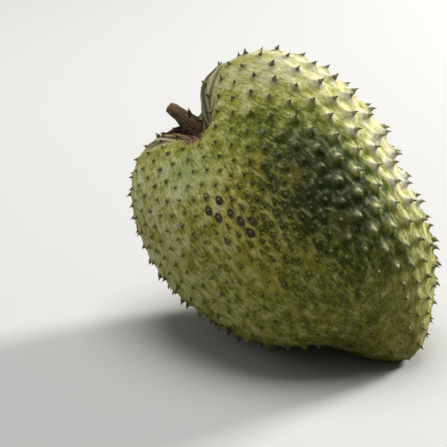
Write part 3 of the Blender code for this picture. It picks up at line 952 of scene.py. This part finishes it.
class SkinPaint(Paint):
    """The skin's material: first the patterns that its layers share, and then each layer of colour."""

    def __init__(self):
        super().__init__("soursop_skin_fine")
        fibre = self.fact("fibre", vector=True)
        self.around = self.fact("around", vector=True)
        self.near = self.vector("LENGTH", self.around)
        self.where = self.place()
        self.inside = self.step(self.fact("seam"), 0.9, 0.4)
        self.patches = self.noise(self.where, 34.0, detail=4.0)
        self.blotches = self.noise(self.where, 130.0, detail=4.0)
        self.specks = self.noise(self.where, 420.0)

        # fibres that run from the stalk to the tip, and on swollen carpels rays that run down from the spine
        coarse = self.scaled(fibre, (32.0, 32.0, 9.0))
        self.long_fibres = self.noise(coarse, 1.0, detail=4.0, roughness=0.62, distortion=0.35)
        fine_fibres = self.noise(self.scaled(fibre, (80.0, 80.0, 24.0)), 1.0, distortion=0.2)
        fibres = self.sum(self.times(self.long_fibres, 0.5), self.times(fine_fibres, 0.5))
        ray = self.scaled(self.vector("NORMALIZE", self.around), (8.0, 8.0, 1.0))
        ray = self.vector("ADD", ray, self.combined(0.0, 0.0, self.times(self.near, 0.35)))
        self.rays = self.noise(ray, 1.0, detail=4.0, roughness=0.65)
        rayed = self.times(self.fact("swollen"), self.inside, self.step(self.near, 7.5, 2.5))
        self.streaks = self.blend(rayed, fibres, self.rays)

    def tone(self):
        """How pale the green is, from 0 in the shaded grooves to 1 on the scurfy tips, with painted light and
        shade added by area and on the mound tops.
        """
        areas = [self.times(self.fact(name), weight) for name, weight in TONE_OF.items()]
        # painted highlight: the mound tops on the rim and flank are made paler, so the hollows between them
        # read as painted shade
        painted_top_light = self.sum(0.12, self.times(self.fact("rim"), 0.33), self.times(self.fact("flank"), 0.30))
        streaky = self.sum(1.6, self.times(self.fact("valley"), -0.1), self.times(self.fact("low"), -0.9))
        return self.sum(
            TONE,
            *areas,
            self.times(self.step(self.fact("mounds"), 1.0, 4.0), painted_top_light),
            self.times(self.patches, 0.50),
            self.times(self.blotches, 0.64),
            self.times(self.centred(self.streaks), streaky),
            self.times(self.centred(self.specks), 0.60),
        )

    def greens(self):
        """The green, darkened by painted shade on the flank and front, yellow in patches, brown below and
        olive in the valley.
        """
        tone, flank, low = self.tone(), self.fact("flank"), self.fact("low")
        colour = self.ramp(tone, GREENS)
        # painted shade: the flank and the crown's front tinted a darker green where the key light misses them
        painted_shade = self.greater(flank, self.times(self.fact("front"), 0.5))
        painted_shade = self.times(painted_shade, self.step(tone, 0.75, 0.30, 0.9))
        colour = self.mix(painted_shade, colour, PAINTED_SHADE_TINT, "MULTIPLY")
        yellow = self.step(self.noise(self.where, 55.0, roughness=0.5), 0.54, 0.70, 0.5)
        colour = self.mix(self.times(yellow, self.rest_of(flank)), colour, YELLOW)
        speckled = self.noise(self.where, 260.0, detail=4.0, roughness=0.7, distortion=1.2)
        colour = self.mix(self.times(low, self.step(speckled, 0.42, 0.62, 0.75)), colour, BROWN_SPECKLES)
        return self.mix(self.step(self.fact("valley"), 0.25, 0.80, 0.75), colour, OLIVE, "MULTIPLY")

    def scurf(self, colour):
        """Small grey flecks, pale lines where the carpels meet, and pale brush marks on the mound tops,
        partly scurf and partly painted highlight.
        """
        flecks = self.step(self.noise(self.where, 900.0, detail=2.0), 0.58, 0.70)
        flecks = self.times(flecks, self.step(self.noise(self.where, 70.0), 0.42, 0.62))
        flecks = self.times(flecks, self.math("SUBTRACT", 0.5, self.times(self.fact("flank"), 0.45)))
        colour = self.mix(flecks, colour, SCURF)
        lines = self.times(self.fact("seam"), self.step(self.blotches, 0.40, 0.60))
        lines = self.times(lines, self.step(self.long_fibres, 0.35, 0.60), 0.42)
        colour = self.mix(lines, colour, PALE_SEAMS)
        return self.mix(self.times(self.fact("brush"), self.step(self.rays, 0.40, 0.58)), colour, PALE_BRUSH)

    def spine_feet(self, colour):
        """A dark mark round each spine's foot: on most a halo, partly the skin's own darker foot and partly
        painted shade, and in the valley a long streak of painted shadow cast by the spine.
        """
        parts = self.parts(self.around)
        ahead = self.math("ABSOLUTE", self.sum(parts["X"], 1.2))
        aside = self.math("ABSOLUTE", parts["Y"])
        # painted shadow: a long streak cast by each leaning spine in the valley
        shadow_wedge = self.sum(self.times(aside, 0.95), self.times(ahead, 0.33))
        shadow_wedge = self.times(self.step(shadow_wedge, 1.35, 0.65), self.step(self.fact("valley"), 0.25, 0.60), 0.85)
        # the halo is partly the skin's darker foot and partly painted shade under the spine
        halo = self.times(self.near, self.sum(0.75, self.times(self.fact("chance"), 0.5)))
        unmarked = self.greater(self.fact("swollen"), self.fact("low"))
        halo = self.times(self.step(halo, 2.1, 1.0), self.rest_of(unmarked), 0.56)
        return self.mix(self.times(self.inside, self.greater(shadow_wedge, halo)), colour, FOOT_DARK_AND_SHADOW)

    def bruises(self, colour):
        """Dark oval bruises with a darker ring, and a bluish bloom beside them."""
        oval = self.vector("LENGTH", self.scaled(self.around, (0.66, 1.0, 1.0)))
        bruised = self.times(self.step(self.fact("bruise"), 0.25, 0.60), self.step(oval, 2.7, 2.0))
        bruised = self.times(bruised, self.inside, 0.92)
        colour = self.mix(bruised, colour, self.mix(self.step(oval, 0.9, 1.7), *BRUISES))
        bloom = self.times(self.fact("bloom"), self.step(self.patches, 0.30, 0.55), 0.4)
        return self.mix(bloom, colour, BLUE_BLOOM)

    def stalk_end(self, colour):
        """Grey striped walls of the stalk's hollow, and brown cork round the stalk's foot."""
        stripes = self.step(self.noise(self.fact("fan", vector=True), 8.0), 0.44, 0.60)
        ragged = self.times(self.centred(self.blotches), 0.7)
        hollow = self.step(self.sum(self.fact("hollow"), ragged), 0.35, 0.75, 0.9)
        colour = self.mix(hollow, colour, self.mix(stripes, *WALLS))
        cork = self.step(self.times(self.sum(stripes, 0.4), self.specks), 0.30, 0.80)
        corky = self.step(self.sum(self.fact("cork"), ragged), 0.45, 0.70)
        return self.mix(corky, colour, self.mix(cork, *CORK))


def skin_material():
    paint = SkinPaint()
    colour = paint.scurf(paint.greens())
    colour = paint.bruises(paint.spine_feet(colour))
    paint.set("Base Color", paint.stalk_end(colour))
    grain = paint.noise(paint.where, 1400.0, detail=2.0)
    paint.set("Roughness", paint.sum(0.50, paint.times(paint.blotches, 0.22), paint.times(grain, 0.16)))
    paint.set("Specular IOR Level", 0.12)
    normal = paint.bump(paint.streaks, distance=0.0022, strength=0.9)
    normal = paint.bump(grain, distance=0.00022, strength=0.5, normal=normal)
    paint.set("Normal", paint.bump(paint.blotches, distance=0.0014, strength=0.6, normal=normal))
    return paint.material


def spine_material():
    paint = Paint("spine_fine")
    mottle = paint.noise(paint.place(), 700.0)
    root = paint.mix(paint.fact("tint"), *SPINE_ROOTS)
    # the pale roots on the flank's peaks are partly scurf and partly a painted highlight
    root = paint.mix(paint.times(paint.fact("flank"), 0.9), root, PEAK_ROOTS)
    colour = paint.mix(paint.step(paint.fact("along"), 0.05, 0.60), root, paint.mix(mottle, *SPINE_TIPS))
    colour = paint.mix(paint.step(paint.fact("valley"), 0.20, 0.70, 0.7), colour, VALLEY_SPINES)
    paint.set("Base Color", colour)
    paint.set("Specular IOR Level", 0.25)
    paint.set("Roughness", paint.step(mottle, 0.3, 0.7, to_low=0.55, to_high=0.8))
    paint.set("Normal", paint.bump(mottle, distance=0.0003, strength=0.6))
    return paint.material


def bark_material():
    paint = Paint("stalk_bark_fine")
    along = paint.fact("along")
    grain = paint.scaled(paint.fact("grain", vector=True), (7.0, 7.0, 1.1))
    ridges = paint.noise(grain, 1.0, detail=5.0, roughness=0.65, distortion=0.4)
    specks = paint.noise(paint.place(), 800.0, roughness=0.65)
    colour = paint.mix(paint.step(ridges, 0.35, 0.66), *BARK)
    colour = paint.mix(paint.step(specks, 0.56, 0.70, 0.55), colour, BARK_SPECKS)
    colour = paint.mix(paint.step(along, 0.42, 0.18, 0.7), colour, BARK_FOOT)
    colour = paint.mix(paint.step(along, 0.60, 0.95, 0.6), colour, paint.mix(ridges, *BARK_LIGHTER_AT_END))
    colour = paint.mix(paint.step(along, 0.995, 1.001), colour, PITH)
    paint.set("Base Color", colour)
    paint.set("Specular IOR Level", 0.2)
    paint.set("Roughness", paint.step(specks, 0.3, 0.7, to_low=0.68, to_high=0.92))
    normal = paint.bump(ridges, distance=0.0011, strength=0.9)
    paint.set("Normal", paint.bump(specks, distance=0.0004, strength=0.7, normal=normal))
    return paint.material


def sepal_material():
    paint = Paint("sepal_fine")
    veins = paint.noise(paint.place(), 420.0, detail=4.0, roughness=0.65)
    paint.set("Base Color", paint.mix(paint.step(veins, 0.38, 0.66), *SEPALS))
    paint.set("Roughness", paint.step(veins, 0.3, 0.7, to_low=0.65, to_high=0.9))
    paint.set("Normal", paint.bump(veins, distance=0.0006, strength=0.8))
    return paint.material


# ---------------------------------------------------------------- the studio


def camera_axes():
    """The camera's backward, right and up directions."""
    azimuth, elevation = math.radians(CAMERA_AZIMUTH), math.radians(CAMERA_ELEVATION)
    back = Vector((
        math.sin(azimuth) * math.cos(elevation),
        -math.cos(azimuth) * math.cos(elevation),
        math.sin(elevation),
    ))
    right = Vector((math.cos(azimuth), math.sin(azimuth), 0.0))
    return back, right, back.cross(right)


def build_camera():
    """A camera above the fruit's front, aimed so that the fruit stands right of the view's middle."""
    back, right, up = camera_axes()
    core = Vector(CORE) * MM
    aim = core - CORE_ASIDE * right + CORE_BELOW * up
    data = bpy.data.cameras.new("camera")
    camera = bpy.data.objects.new("camera", data)
    camera.location = core + back * CAMERA_DISTANCE
    camera.rotation_euler = (camera.location - aim).to_track_quat("Z", "Y").to_euler()
    data.sensor_width = SENSOR_WIDTH
    data.lens = SENSOR_WIDTH * (camera.location - aim).length / VIEW_WIDTH
    bpy.context.scene.collection.objects.link(camera)
    bpy.context.scene.camera = camera


def area_light(name, way, distance, size, power, colour):
    """A square soft light that shines on the fruit's core."""
    back, right, _ = camera_axes()
    level = Vector((back.x, back.y, 0.0)).normalized()
    sideways, height, towards = way
    way = (right * sideways + Vector((0.0, 0.0, 1.0)) * height + level * towards).normalized()
    data = bpy.data.lights.new(name, "AREA")
    data.size = size
    data.energy = power
    data.color = colour
    light = bpy.data.objects.new(name, data)
    light.location = Vector(CORE) * MM + way * distance
    light.rotation_euler = way.to_track_quat("Z", "Y").to_euler()
    bpy.context.scene.collection.objects.link(light)


def build_studio():
    """A plain pale floor, three soft lights and a dim white surround."""
    mesh = bmesh.new()
    bmesh.ops.create_grid(mesh, x_segments=1, y_segments=1, size=FLOOR_HALF)
    data = bpy.data.meshes.new("floor")
    mesh.to_mesh(data)
    mesh.free()
    floor = bpy.data.objects.new("floor", data)
    bpy.context.scene.collection.objects.link(floor)
    paint = Paint("floor_paper")
    paint.set("Base Color", FLOOR)
    paint.set("Roughness", 0.75)
    paint.set("Specular IOR Level", 0.2)
    data.materials.append(paint.material)

    for light in LIGHTS:
        area_light(*light)
    world = bpy.data.worlds.new("studio")
    world.use_nodes = True
    background = world.node_tree.nodes["Background"]
    background.inputs["Color"].default_value = (1.0, 1.0, 1.0, 1.0)
    background.inputs["Strength"].default_value = WORLD_STRENGTH
    bpy.context.scene.world = world
    bpy.context.scene.view_settings.view_transform = "Standard"


build_camera()
all_spines = Spines()
build_skin(all_spines)
build_spines(all_spines)
build_stalk()
build_sepals()
build_studio()
